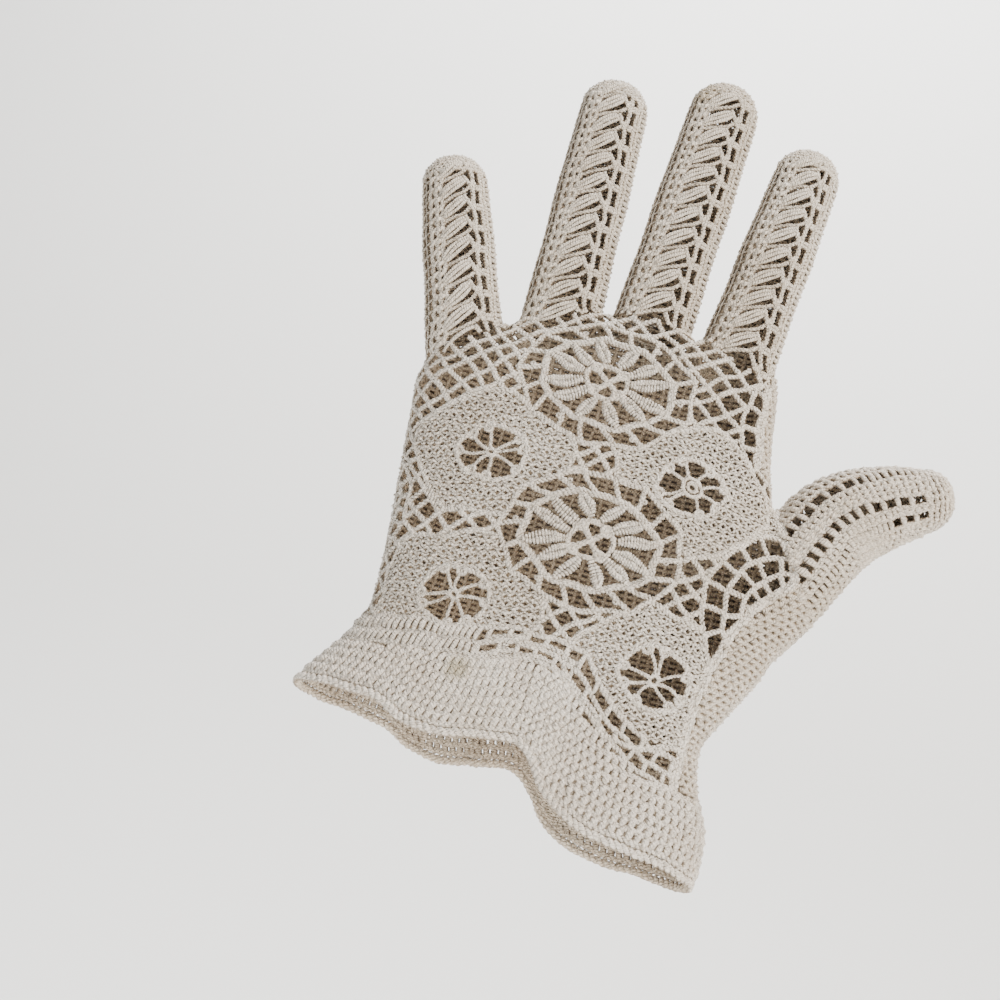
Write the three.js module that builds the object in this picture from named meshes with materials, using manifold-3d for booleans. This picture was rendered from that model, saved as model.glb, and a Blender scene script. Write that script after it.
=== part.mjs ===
// A left-hand crochet glove of ecru cotton with a lace back, spread as it is when worn.
// Frame: millimetres, origin in the middle of the wrist opening, +Z along the hand to the middle
// finger, +X to the thumb side, +Y to the palm. The lace back faces -Y.
import * as THREE from 'three';
import { mergeGeometries, mergeVertices } from 'three/addons/utils/BufferGeometryUtils.js';
import Module from 'manifold-3d';

const wasm = await Module();
wasm.setup();

// Driving dimensions in millimetres

// Hand: from the wrist line to the webs between the fingers, and across the knuckles
const handLength = 93.5;
const handBreadth = 86;
const backDepth = 15.5;
const palmDepth = 18.5;

// Cuff: how far its longest scallop drops below the wrist line, its breadth and its half depths
const cuffDrop = 30;
const cuffBreadth = 96;
const cuffBackDepth = 17;
const cuffPalmDepth = 18.5;
const edgeRadius = 1.25;

// Fingers: length from the web to the tip, breadth at the root and thickness from back to palm
const littleLength = 56;
const ringLength = 73;
const middleLength = 77;
const indexLength = 68;
const fingerBreadth = 18.4;
const fingerDepth = 16.5;
const fingerCurl = 4;

// Thumb: length along its middle line from inside the palm, breadth and thickness at its root
const thumbLength = 74;
const thumbBreadth = 23;
const thumbDepth = 24;

// Cotton: thickness of the crocheted wall, and the seam left between two pieces
const wall = 1.4;
const seam = 0.3;

// Lace: height of one repeat of the pattern, size of its flowers, wheels, net cells and fans
const laceRepeat = 39;
const flowerHalfBreadth = 14.8;
const flowerHalfHeight = 11.6;
const flowerCore = 5;
const petalBreadth = 3.1;
const wheelRadius = 6.8;
const wheelHub = 2;
const wheelOffset = 22.8;
const netCell = 4.4;
const netStrand = 1.6;
const fanRadius = 15;
const laceMargin = 9;
const eyelet = 3;

// Facets round the hand, a finger and the edging cord
const handSides = 28;
const fingerSides = 14;
const thumbSides = 16;
const cordSides = 5;
const cordSteps = 66;
const cuffSteps = 20;
const hemSteps = 40;

// Far enough to pass through the whole glove
const beyond = 3 * handBreadth;

// Sections of the cuff, from its hem up. height is a share of cuffDrop, little and thumb are the two
// side edges as shares of cuffBreadth, back and palm are shares of the cuff's two half depths.
const cuffSections = [
  { height: -1.25, little: -0.577, thumb: 0.448, back: 1.10, palm: 1.10 },
  { height: -0.92, little: -0.570, thumb: 0.465, back: 1.06, palm: 1.06 },
  { height: -0.63, little: -0.556, thumb: 0.460, back: 1.02, palm: 1.00 },
  { height: -0.40, little: -0.536, thumb: 0.424, back: 0.95, palm: 0.95 },
  { height: -0.20, little: -0.496, thumb: 0.404, back: 0.91, palm: 0.92 },
];

// Sections of the hand, from the wrist up. height is a share of handLength, little and thumb are
// shares of handBreadth, back and palm are shares of backDepth and palmDepth.
const handSections = [
  { height: 0.00, little: -0.508, thumb: 0.446, back: 0.97, palm: 0.93 },
  { height: 0.10, little: -0.474, thumb: 0.500, back: 0.96, palm: 0.97 },
  { height: 0.20, little: -0.482, thumb: 0.556, back: 0.97, palm: 1.02 },
  { height: 0.33, little: -0.500, thumb: 0.590, back: 0.97, palm: 1.02 },
  { height: 0.46, little: -0.522, thumb: 0.548, back: 0.95, palm: 0.96 },
  { height: 0.60, little: -0.545, thumb: 0.482, back: 0.92, palm: 0.86 },
  { height: 0.72, little: -0.566, thumb: 0.440, back: 0.88, palm: 0.78 },
  { height: 0.81, little: -0.504, thumb: 0.424, back: 0.82, palm: 0.72 },
  { height: 0.89, little: -0.396, thumb: 0.414, back: 0.74, palm: 0.64 },
  { height: 0.95, little: -0.306, thumb: 0.404, back: 0.63, palm: 0.54 },
  { height: 1.00, little: -0.262, thumb: 0.376, back: 0.44, palm: 0.38 },
];

// Fingers: root across handBreadth and up handLength, lean from the middle line in degrees, and
// breadths at root and tip as shares of fingerBreadth. Each tube starts below its root, inside the
// palm, by fingerSunk of handLength.
const fingers = [
  { name: 'little_finger', length: littleLength, across: -0.468, up: 0.826, lean: -20.5, root: 1.00, tip: 0.84 },
  { name: 'ring_finger', length: ringLength, across: -0.234, up: 0.975, lean: -3.5, root: 1.00, tip: 0.90 },
  { name: 'middle_finger', length: middleLength, across: 0.020, up: 1.010, lean: 1.6, root: 1.02, tip: 0.93 },
  { name: 'index_finger', length: indexLength, across: 0.274, up: 0.965, lean: 5.0, root: 0.99, tip: 0.85 },
];
const fingerSunk = 0.12;

// Thumb, from inside the palm to its blunt tip. across and up are shares of thumbLength from the
// wrist, breadth and depth are shares of the thumb's own breadth and depth at the root.
const thumbRoot = { across: 0.485, up: 0.285 };
const thumbSections = [
  { across: 0.00, up: 0.00, breadth: 0.84, depth: 0.92, toPalm: 0.12 },
  { across: 0.15, up: 0.24, breadth: 0.86, depth: 1.00, toPalm: 0.12 },
  { across: 0.265, up: 0.505, breadth: 0.96, depth: 0.90, toPalm: 0.07 },
  { across: 0.40, up: 0.625, breadth: 0.84, depth: 0.78, toPalm: 0.03 },
  { across: 0.515, up: 0.685, breadth: 0.68, depth: 0.68, toPalm: 0.00 },
];

// Seam lines, as points of x as a share of handBreadth and z as a share of handLength.
// fingerSeam runs from the little finger's outer side over the webs to the index finger's.
const fingerSeam = [[-0.640, 0.700], [-0.366, 0.884], [-0.094, 1.012], [0.162, 0.998], [0.470, 0.902]];
const thumbSeam = [[0.480, 0.662], [0.520, 0.560], [0.600, 0.410], [0.700, 0.290]];
const laceSeam = [[0.410, -0.300], [0.410, 0.100], [0.470, 0.300], [0.475, 0.480], [0.400, 0.680],
  [0.350, 1.300]];

// Line where the cuff joins the hand, and the hem with its two scallops, with x as a share of
// cuffBreadth and z as a share of cuffDrop.
const cuffSeam = [[-0.70, -0.09], [-0.44, -0.07], [-0.18, 0.01], [-0.04, 0.10], [0.06, 0.05], [0.15, -0.20],
  [0.25, -0.39], [0.34, -0.46], [0.70, -0.44]];
const hemLine = [[-0.64, -0.38], [-0.50, -0.38], [-0.34, -0.40], [-0.26, -0.50], [-0.19, -0.54],
  [-0.10, -0.48], [-0.02, -0.43], [0.02, -0.46], [0.06, -0.58], [0.10, -0.73], [0.16, -0.85],
  [0.24, -0.91], [0.33, -0.93], [0.40, -0.95], [0.47, -0.98], [0.70, -1.00]];

// How square a section is: 2 is an ellipse. How far a tip turns in before it is closed, how long a
// tip's round part is as a share of its breadth, and how blunt the thumb's tip is.
const handSquareness = 2.5;
const fingerSquareness = 2.2;
const thumbSquareness = 2.3;
const tipTurn = THREE.MathUtils.degToRad(76);
const fingerTipShare = 0.55;
const thumbTipShare = 0.42;
const thumbBluntness = 0.7;

const cotton = { ecru: 0xd9d1c4, palm: 0xd2c9bb, edge: 0xd4cbbd };

// Solids

// A closed geometry as a solid, with only its positions kept and its shared corners merged.
function solid(geometry) {
  const bare = geometry.clone();
  bare.deleteAttribute('normal');
  bare.deleteAttribute('uv');
  const merged = mergeVertices(bare);
  const mesh = new wasm.Mesh({
    numProp: 3,
    vertProperties: new Float32Array(merged.attributes.position.array),
    triVerts: new Uint32Array(merged.index.array),
  });
  return new wasm.Manifold(mesh);
}

// A cylinder reshaped point by point: place(point, along, across, depth) moves a point from its
// share along the tube and its place on the unit circle, across to the thumb and depth to the palm.
function loft(sides, rows, place) {
  const tube = new THREE.CylinderGeometry(1, 1, 1, sides, rows);
  const position = tube.attributes.position;
  const point = new THREE.Vector3();
  for (let i = 0; i < position.count; i += 1) {
    point.fromBufferAttribute(position, i);
    place(point, point.y + 0.5, point.x, -point.z);
    position.setXYZ(i, point.x, point.y, point.z);
  }
  return solid(tube);
}

// A closed outline in x and z as a prism along y between two depths.
function prismGeometry(outline, yLow, yHigh) {
  const shape = new THREE.Shape(outline.map(([x, z]) => new THREE.Vector2(x, z)));
  const prism = new THREE.ExtrudeGeometry(shape, { depth: yHigh - yLow, bevelEnabled: false });
  prism.rotateX(Math.PI / 2);
  prism.translate(0, yHigh, 0);
  return prism;
}

function prism(outline, yLow = -beyond, yHigh = beyond) {
  return solid(prismGeometry(outline, yLow, yHigh));
}

// Squares the unit circle a little, as a hand is squarer than an ellipse.
function squared(value, exponent) {
  return Math.sign(value) * Math.abs(value) ** (2 / exponent);
}

// A smooth curve through the rows of a table, whose values are its points' x, y and z.
const tableCurve = (rows) => new THREE.CatmullRomCurve3(
  rows.map(([x, y, z]) => new THREE.Vector3(x, y, z)), false, 'centripetal');

// Hand and cuff

const bodyRows = [
  ...cuffSections.map((row) => ({
    z: row.height * cuffDrop,
    little: row.little * cuffBreadth,
    thumb: row.thumb * cuffBreadth,
    back: row.back * cuffBackDepth,
    palm: row.palm * cuffPalmDepth,
  })),
  ...handSections.map((row) => ({
    z: row.height * handLength,
    little: row.little * handBreadth,
    thumb: row.thumb * handBreadth,
    back: row.back * backDepth,
    palm: row.palm * palmDepth,
  })),
];

// The hand's section at a height, between the two table rows round it.
function bodySection(z) {
  const next = bodyRows.findIndex((row) => row.z >= z);
  const high = next < 0 ? bodyRows.length - 1 : Math.max(next, 1);
  const below = bodyRows[high - 1];
  const above = bodyRows[high];
  const share = (z - below.z) / (above.z - below.z);
  const mix = (column) => below[column] + (above[column] - below[column]) * share;
  return { little: mix('little'), thumb: mix('thumb'), back: mix('back'), palm: mix('palm') };
}

function bodyPoint(point, z, across, depth, inset) {
  const section = bodySection(z);
  const middle = (section.little + section.thumb) / 2;
  const half = (section.thumb - section.little) / 2 - inset;
  const reach = (depth < 0 ? section.back : section.palm) - inset;
  point.set(
    middle + half * squared(across, handSquareness),
    reach * squared(depth, handSquareness),
    z,
  );
}

// The body of the hand and cuff, through every row of the tables. A hollow stops a wall below the
// top and goes on past the bottom, so that it is open there.
function bodyForm(inset) {
  const last = bodyRows.length - 1;
  return loft(handSides, last, (point, along, across, depth) => {
    const row = Math.round(along * last);
    bodyPoint(point, bodyRows[row].z - (row === last ? inset : 0), across, depth, inset);
    if (row === 0) point.z -= inset;
  });
}

// Fingers

function fingerFrame(finger) {
  const lean = THREE.MathUtils.degToRad(finger.lean);
  return {
    root: new THREE.Vector3(finger.across * handBreadth, 0, finger.up * handLength),
    axis: new THREE.Vector3(Math.sin(lean), 0, Math.cos(lean)),
    side: new THREE.Vector3(Math.cos(lean), 0, -Math.sin(lean)),
  };
}

const shaftRows = 5;
const tipRows = 4;

// A finger: a tapering tube with a rounded tip, its middle line curling slightly to the palm.
function fingerForm(finger, inset) {
  const { root, axis, side } = fingerFrame(finger);
  const rows = shaftRows + tipRows;
  const start = -fingerSunk * handLength;
  const end = finger.length - inset;
  const tipRound = fingerBreadth * finger.tip * fingerTipShare;
  return loft(fingerSides, rows, (point, along, across, depth) => {
    const row = Math.round(along * rows);
    const turn = Math.max(0, (row - shaftRows) / tipRows) * tipTurn;
    const shaft = start + (end - tipRound - start) * Math.min(1, row / shaftRows);
    const reach = shaft + tipRound * Math.sin(turn);
    const share = THREE.MathUtils.clamp(reach / finger.length, 0, 1);
    const taper = THREE.MathUtils.lerp(finger.root, finger.tip, share);
    const half = (fingerBreadth * taper / 2 - inset) * Math.cos(turn);
    const thick = (fingerDepth * taper / 2 - inset) * Math.cos(turn);
    point.copy(root).addScaledVector(axis, reach);
    point.addScaledVector(side, half * squared(across, fingerSquareness));
    point.y += thick * squared(depth, fingerSquareness) + fingerCurl * share * share;
  });
}

// Thumb

const thumbLine = tableCurve(thumbSections.map((row) => [
  (thumbRoot.across + row.across) * thumbLength,
  row.toPalm * thumbDepth,
  (thumbRoot.up + row.up) * thumbLength,
]));
const thumbGirth = tableCurve(thumbSections.map((row) => [row.breadth * thumbBreadth, row.depth * thumbDepth, 0]));
const thumbRows = 8;
const thumbTipRows = 4;

// The thumb follows its middle line, then closes in a blunt tip.
function thumbForm(inset) {
  const rows = thumbRows + thumbTipRows;
  const tipRound = thumbSections.at(-1).breadth * thumbBreadth * thumbTipShare - inset / 2;
  return loft(thumbSides, rows, (point, along, across, depth) => {
    const row = Math.round(along * rows);
    const t = Math.min(1, row / thumbRows);
    const turn = Math.max(0, (row - thumbRows) / thumbTipRows) * tipTurn;
    const axis = thumbLine.getTangent(t);
    axis.y = 0;
    axis.normalize();
    const girth = thumbGirth.getPoint(t);
    const closing = Math.cos(turn) ** thumbBluntness;
    const half = (girth.x / 2 - inset) * closing;
    const thick = (girth.y / 2 - inset) * closing;
    const offset = half * squared(across, thumbSquareness);
    point.copy(thumbLine.getPoint(t)).addScaledVector(axis, tipRound * Math.sin(turn));
    point.x += axis.z * offset;
    point.z -= axis.x * offset;
    point.y += thick * squared(depth, thumbSquareness);
  });
}

// The whole glove as one wall: outer forms joined, less the same forms one wall smaller
function joinedForms(inset) {
  const forms = [bodyForm(inset), thumbForm(inset), ...fingers.map((finger) => fingerForm(finger, inset))];
  return forms.reduce((whole, form) => whole.add(form));
}
const glove = joinedForms(0).subtract(joinedForms(wall));

// Seams and regions

const onHand = ([x, z]) => [x * handBreadth, z * handLength];
const onCuff = ([x, z]) => [x * cuffBreadth, z * cuffDrop];
const smooth = (points, divisions) => new THREE.SplineCurve(points.map(([x, z]) => new THREE.Vector2(x, z)))
  .getPoints(divisions).map((point) => [point.x, point.y]);
const shifted = (points, dx, dz) => points.map(([x, z]) => [x + dx, z + dz]);

const fingerLine = fingerSeam.map(onHand);
const thumbLineXZ = thumbSeam.map(onHand);
const laceLine = laceSeam.map(onHand);
const cuffLine = smooth(cuffSeam.map(onCuff), cuffSteps);
const hem = smooth(hemLine.map(onCuff), hemSteps);

// Everything above a line that is carried on level at both ends, or below it
const carried = (line) => [[-beyond, line[0][1]], ...line, [beyond, line.at(-1)[1]]];
const above = (line) => prism([...carried(line), [beyond, beyond], [-beyond, beyond]]);
const below = (line) => prism([...carried(line), [beyond, -beyond], [-beyond, -beyond]]);

// One finger's region: above its part of the finger seam, with sides that lean halfway between its
// neighbours and its own middle line. outerLean stands for the neighbour outside the hand.
const outerLean = 38;
function fingerRegion(index) {
  const left = fingerLine[index];
  const right = fingerLine[index + 1];
  const leans = [-outerLean, ...fingers.map((finger) => finger.lean), outerLean];
  const between = (first) => THREE.MathUtils.degToRad((leans[first] + leans[first + 1]) / 2);
  const along = ([x, z], lean) => [x + Math.tan(lean) * handLength, z + handLength];
  const outline = [left, right, along(right, between(index + 1)), along(left, between(index))];
  return prism(shifted(outline, 0, seam));
}

const thumbRegion = (dx) => prism(shifted([
  ...thumbLineXZ, [beyond, thumbLineXZ.at(-1)[1]], [beyond, beyond], [thumbLineXZ[0][0], beyond],
], dx, 0));

const aboveHem = above(hem);
const cuffZone = below(shifted(cuffLine, 0, -seam));
const handZone = above(cuffLine).subtract(above(fingerLine));
const backZone = (dx, yHigh) => prism([...shifted(laceLine, dx, 0), [-beyond, beyond], [-beyond, -beyond]],
  -beyond, yHigh);

// Lace gaps, as outlines in x and z

const polar = (centre, radiusX, radiusZ, angle) => [
  centre[0] + radiusX * Math.cos(angle),
  centre[1] + radiusZ * Math.sin(angle),
];

// Petals of one quarter of a flower, by the angle of the tip: the other quarters mirror them. The
// wedge between two petals opens by at least leastWedge, a half angle in radians.
const leastWedge = 0.02;
const petalAngles = [14, 34, 63].map(THREE.MathUtils.degToRad);
const quarters = [[1, 1], [-1, 1], [-1, -1], [1, -1]];

// The open wedges between the petals, and the four square eyes in the flower's heart.
function flowerGaps(centre) {
  const angles = quarters.flatMap(([sx, sz]) => petalAngles
    .map((a) => Math.atan2(sz * Math.sin(a), sx * Math.cos(a))));
  angles.sort((a, b) => a - b);
  const reachX = flowerHalfBreadth - netStrand / 2;
  const reachZ = flowerHalfHeight - netStrand / 2;
  const gaps = angles.map((angle, i) => {
    const next = angles[(i + 1) % angles.length] + (i + 1 === angles.length ? 2 * Math.PI : 0);
    const middle = (angle + next) / 2;
    const half = Math.max(leastWedge, (next - angle) / 2 - petalBreadth / flowerHalfBreadth / 2);
    const root = flowerCore + petalBreadth / 3;
    return [
      polar(centre, root, root, middle),
      polar(centre, reachX, reachZ, middle - half),
      polar(centre, reachX, reachZ, middle + half),
    ];
  });
  const eye = (flowerCore + netStrand / 2) / 2;
  const eyeHalf = (flowerCore - netStrand) / 3;
  const eyes = [0, 1, 2, 3].map((k) => {
    const [x, z] = polar(centre, eye, eye, k * Math.PI / 2);
    return [[x + eyeHalf, z], [x, z + eyeHalf], [x - eyeHalf, z], [x, z - eyeHalf]];
  });
  return [...gaps, ...eyes];
}

// Leaning cells of the net just outside a flower, left out where the cloth of the lobes lies.
const cellLean = 0.4;
const netAngles = [-14, 14, 60, 80, 100, 120, 166, 194, 240, 260, 280, 300].map(THREE.MathUtils.degToRad);
function netGaps(centre) {
  const open = (netCell - netStrand / 2) / 2;
  const skew = open * cellLean;
  return netAngles.map((angle) => {
    const [x, z] = polar(centre, flowerHalfBreadth + netCell, flowerHalfHeight + netCell, angle);
    return [[x + open, z - skew], [x + skew, z + open], [x - open, z + skew], [x - skew, z - open]];
  });
}

// The eight open sectors of a spoked wheel.
function wheelGaps(centre) {
  const step = Math.PI / 4;
  const half = step / 2 - netStrand / (3 * wheelRadius);
  const shoulder = wheelRadius - netStrand;
  return [0, 1, 2, 3, 4, 5, 6, 7].map((k) => {
    const at = (radius, turn) => polar(centre, radius, radius, k * step + turn);
    return [at(wheelHub, 0), at(shoulder, -half), at(wheelRadius, 0), at(shoulder, half)];
  });
}

// An arc of cells at a side of the lace, opening away from the middle.
const fanTaper = 0.8;
function fanGaps(centre, side) {
  const steps = [-1.5, -0.5, 0.5, 1.5];
  const half = (netCell - netStrand / 2) / 2;
  const short = half * fanTaper;
  return steps.map((k) => {
    const angle = k * (netCell + netStrand) / fanRadius;
    const x = centre[0] - side * fanRadius * Math.cos(angle);
    const z = centre[1] + fanRadius * Math.sin(angle);
    return [[x - half, z - short], [x + half, z - half], [x + half, z + half], [x - half, z + short]];
  });
}

// A row of eyelets just above the cuff, at shares of its seam line.
const eyeletShares = [0.36, 0.42, 0.48, 0.54, 0.60, 0.66, 0.72, 0.78];
function eyeletGaps() {
  const half = eyelet / 2;
  return eyeletShares.map((share) => {
    const [x, z] = cuffLine[Math.round(share * (cuffLine.length - 1))];
    const low = z + eyelet;
    return [[x - half, low], [x + half, low], [x + half, low + half], [x - half, low + half]];
  });
}

// The pattern: a column of flowers, wheels on both sides half a repeat below each, fans beside.
// swayShare is how far the lace is pulled askew, as a share of the repeat.
const swayShare = 0.09;
const topFlowerShare = 0.78;
const flowerSway = laceRepeat * swayShare;
const topFlower = handLength * topFlowerShare;
const flowerCentres = [[-flowerSway, topFlower], [flowerSway, topFlower - laceRepeat]];
const wheelCentres = [topFlower - laceRepeat / 2, topFlower - laceRepeat * 1.5]
  .flatMap((z) => [[-wheelOffset, z - flowerSway], [wheelOffset, z - flowerSway / 4]]);
const laceSides = [-1, 1].map((side) => side * (handBreadth / 2 + laceMargin / 2));
const fanCentres = [topFlower - flowerSway * 2, topFlower - laceRepeat - flowerSway]
  .flatMap((z) => laceSides.map((x) => [x, z]));

const laceOutlines = [
  ...flowerCentres.flatMap(flowerGaps),
  ...flowerCentres.flatMap(netGaps),
  ...wheelCentres.flatMap(wheelGaps),
  ...fanCentres.flatMap((centre) => fanGaps(centre, Math.sign(centre[0]))),
  ...eyeletGaps(),
];
const laceCutters = solid(mergeGeometries(laceOutlines.map((outline) => {
  const geometry = prismGeometry(outline, -beyond, 0);
  geometry.deleteAttribute('normal');
  geometry.deleteAttribute('uv');
  return geometry;
})));

// Corded edge along the hem

const hemHeight = (x) => {
  const next = hem.findIndex(([hx]) => hx >= x);
  const [ax, az] = hem[Math.max(next - 1, 0)];
  const [bx, bz] = hem[Math.max(next, 1)];
  return az + (bz - az) * (x - ax) / (bx - ax);
};

// The height of the cord's middle below the hem at x, clear of the hem on both slopes.
function cordHeight(x) {
  const clear = edgeRadius + seam;
  const shares = [-0.9, -0.6, -0.3, 0, 0.3, 0.6, 0.9];
  const heights = shares.map((share) => hemHeight(x + share * clear) - clear * Math.sqrt(1 - share * share));
  return Math.min(...heights);
}

// A point of the cord's middle line, at a turn round the cuff.
function hemPoint(turn) {
  const point = new THREE.Vector3();
  let z = -cuffDrop / 2;
  for (let pass = 0; pass < 12; pass += 1) {
    bodyPoint(point, z, Math.cos(turn), Math.sin(turn), wall / 2);
    z = cordHeight(point.x);
  }
  point.z = z;
  return point;
}

function cordForm() {
  const ring = new THREE.TorusGeometry(1, 0.5, cordSides, cordSteps);
  const position = ring.attributes.position;
  const up = new THREE.Vector3();
  const out = new THREE.Vector3();
  const point = new THREE.Vector3();
  const step = Math.PI / cordSteps;
  for (let i = 0; i < position.count; i += 1) {
    point.fromBufferAttribute(position, i);
    const turn = Math.atan2(point.y, point.x);
    const outward = (Math.hypot(point.x, point.y) - 1) / 0.5 * edgeRadius;
    const upward = point.z / 0.5 * edgeRadius;
    const tangent = hemPoint(turn + step).sub(hemPoint(turn - step)).normalize();
    out.set(tangent.y, -tangent.x, 0).normalize();
    up.crossVectors(out, tangent);
    point.copy(hemPoint(turn)).addScaledVector(out, outward).addScaledVector(up, upward);
    position.setXYZ(i, point.x, point.y, point.z);
  }
  return solid(ring);
}

// Pieces

const hand = glove.intersect(handZone).subtract(thumbRegion(-seam));
const backOfHand = hand.intersect(backZone(0, -seam / 2));
const pieces = [
  { name: 'back_panel', form: backOfHand.subtract(laceCutters), colour: cotton.ecru },
  { name: 'palm_panel', form: hand.subtract(backZone(seam, seam / 2)), colour: cotton.palm },
  ...fingers.map((finger, index) => ({
    name: finger.name,
    form: glove.intersect(fingerRegion(index)),
    colour: cotton.ecru,
  })),
  { name: 'thumb', form: glove.intersect(thumbRegion(0)).subtract(above(fingerLine)), colour: cotton.palm },
  { name: 'cuff_band', form: glove.intersect(cuffZone).intersect(aboveHem), colour: cotton.edge },
  { name: 'cuff_edging', form: cordForm(), colour: cotton.edge },
];

function pieceMesh({ name, form, colour }) {
  const { vertProperties, triVerts } = form.getMesh();
  const geometry = new THREE.BufferGeometry();
  geometry.setAttribute('position', new THREE.BufferAttribute(vertProperties, 3));
  geometry.setIndex(new THREE.BufferAttribute(triVerts, 1));
  const material = new THREE.MeshStandardMaterial({ color: colour, roughness: 0.9, metalness: 0 });
  const mesh = new THREE.Mesh(geometry, material);
  mesh.name = name;
  return mesh;
}

const part = new THREE.Group();
pieces.forEach((piece) => part.add(pieceMesh(piece)));

export default part;
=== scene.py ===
import math

import bpy
import numpy as np
from mathutils import Matrix, Vector
from mathutils.bvhtree import BVHTree


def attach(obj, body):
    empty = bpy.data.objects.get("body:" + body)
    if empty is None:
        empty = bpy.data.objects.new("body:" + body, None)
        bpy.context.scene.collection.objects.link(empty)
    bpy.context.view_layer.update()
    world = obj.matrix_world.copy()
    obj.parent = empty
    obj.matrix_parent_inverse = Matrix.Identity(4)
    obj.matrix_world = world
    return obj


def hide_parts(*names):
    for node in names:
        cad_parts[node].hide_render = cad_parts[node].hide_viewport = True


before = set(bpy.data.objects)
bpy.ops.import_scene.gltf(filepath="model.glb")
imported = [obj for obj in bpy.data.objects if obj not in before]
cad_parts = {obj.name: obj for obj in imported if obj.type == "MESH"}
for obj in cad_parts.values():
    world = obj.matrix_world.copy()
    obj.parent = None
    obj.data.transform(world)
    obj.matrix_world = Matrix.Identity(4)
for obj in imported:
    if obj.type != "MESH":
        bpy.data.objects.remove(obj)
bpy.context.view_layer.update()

# The scene is in metres. The glove's lengths are millimetres, and MM turns them to metres.
MM = 0.001
random = np.random.default_rng(11)


def add_object(name, data):
    made = bpy.data.objects.new(name, data)
    bpy.context.scene.collection.objects.link(made)
    return made


# Camera at the photograph's angle: a little lower than the hem, looking up at the back of the glove
TILT = math.radians(20)
ROLL = math.radians(17)
CAMERA_PLACE = (0.01452, -0.32889, -0.07205)
FOCAL_LENGTH, FILM_WIDTH = 53.6, 36
glove_up = Vector((-math.sin(ROLL), 0, math.cos(ROLL)))
camera_right = Vector((math.cos(ROLL), 0, math.sin(ROLL)))
camera_forward = Vector((0, math.cos(TILT), 0)) + glove_up * math.sin(TILT)
camera_up = glove_up * math.cos(TILT) - Vector((0, math.sin(TILT), 0))
camera_data = bpy.data.cameras.new("camera")
camera_data.lens, camera_data.sensor_width = FOCAL_LENGTH, FILM_WIDTH
camera = add_object("camera", camera_data)
turned = Matrix((camera_right, camera_up, -camera_forward)).transposed().to_4x4()
camera.matrix_world = Matrix.Translation(CAMERA_PLACE) @ turned
bpy.context.scene.camera = camera


# Sizes of the glove, the same as the solids', in millimetres
HAND_LENGTH, HAND_BREADTH = 93.5, 86
BACK_DEPTH, PALM_DEPTH = 15.5, 18.5
CUFF_DROP, CUFF_BREADTH = 30, 96
CUFF_BACK_DEPTH, CUFF_PALM_DEPTH = 17, 18.5
EDGE_RADIUS = 1.25
FINGER_BREADTH, FINGER_DEPTH, FINGER_CURL = 18.4, 16.5, 4
THUMB_LENGTH, THUMB_BREADTH, THUMB_DEPTH = 74, 23, 24

# Height, little-finger side, thumb side, back and palm of each section
CUFF_SECTIONS = [(-1.25, -.577, .448, 1.10, 1.10), (-.92, -.570, .465, 1.06, 1.06),
                 (-.63, -.556, .460, 1.02, 1.00), (-.40, -.536, .424, .95, .95),
                 (-.20, -.496, .404, .91, .92)]
HAND_SECTIONS = [
    (0, -.508, .446, .97, .93), (.10, -.474, .500, .96, .97), (.20, -.482, .556, .97, 1.02),
    (.33, -.500, .590, .97, 1.02), (.46, -.522, .548, .95, .96), (.60, -.545, .482, .92, .86),
    (.72, -.566, .440, .88, .78), (.81, -.504, .424, .82, .72), (.89, -.396, .414, .74, .64),
    (.95, -.306, .404, .63, .54), (1, -.262, .376, .44, .38)]

# Name, length, root across and up, lean, root and tip breadth of each finger
FINGERS = [("little_finger", 56, -.468, .826, -20.5, 1.00, .84),
           ("ring_finger", 73, -.234, .975, -3.5, 1.00, .90),
           ("middle_finger", 77, .020, 1.010, 1.6, 1.02, .93),
           ("index_finger", 68, .274, .965, 5.0, .99, .85)]

THUMB_ROOT = (.485, .285)
THUMB_SECTIONS = [(0, 0, .84, .92, .12), (.15, .24, .86, 1.00, .12), (.265, .505, .96, .90, .07),
                  (.40, .625, .84, .78, .03), (.515, .685, .68, .68, 0)]

# Seam lines in millimetres of x and z
HAND, CUFF = (HAND_BREADTH, HAND_LENGTH), (CUFF_BREADTH, CUFF_DROP)
FINGER_SEAM = np.array([[-.640, .700], [-.366, .884], [-.094, 1.012], [.162, .998], [.470, .902]]) * HAND
THUMB_SEAM = np.array([[.480, .662], [.520, .560], [.600, .410], [.700, .290]]) * HAND
LACE_SEAM = np.array([[.410, -.300], [.410, .100], [.470, .280], [.540, .380], [.620, .450], [.600, .600],
                      [.410, .690], [.350, 1.300]]) * HAND
CUFF_SEAM = np.array([[-.70, -.09], [-.44, -.07], [-.18, .01], [-.04, .10], [.06, .05], [.15, -.20],
                      [.25, -.39], [.34, -.46], [.70, -.44]]) * CUFF
HEM = np.array([[-.64, -.38], [-.50, -.38], [-.34, -.40], [-.26, -.50], [-.19, -.54], [-.10, -.48],
                [-.02, -.43], [.02, -.46], [.06, -.58], [.10, -.73], [.16, -.85], [.24, -.91],
                [.33, -.93], [.40, -.95], [.47, -.98], [.70, -1.00]]) * CUFF


# Smooth form of the gloved shape, on which every thread is laid

def smooth_line(points, count):
    """A smooth curve through rows of values, as count rows."""
    rows = np.asarray(points, float)
    ends = np.vstack([2 * rows[0] - rows[1], rows, 2 * rows[-1] - rows[-2]])
    place = np.linspace(0, len(rows) - 1 - 1e-9, count)
    step = place.astype(int)
    t = (place - step)[:, None]
    a, b, c, d = (ends[step + k] for k in range(4))
    return 0.5 * (2 * b + (c - a) * t + (2 * a - 5 * b + 4 * c - d) * t ** 2
                  + (3 * b - a - 3 * c + d) * t ** 3)


def unit(vectors):
    return vectors / (np.linalg.norm(vectors, axis=-1, keepdims=True) + 1e-9)


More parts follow.
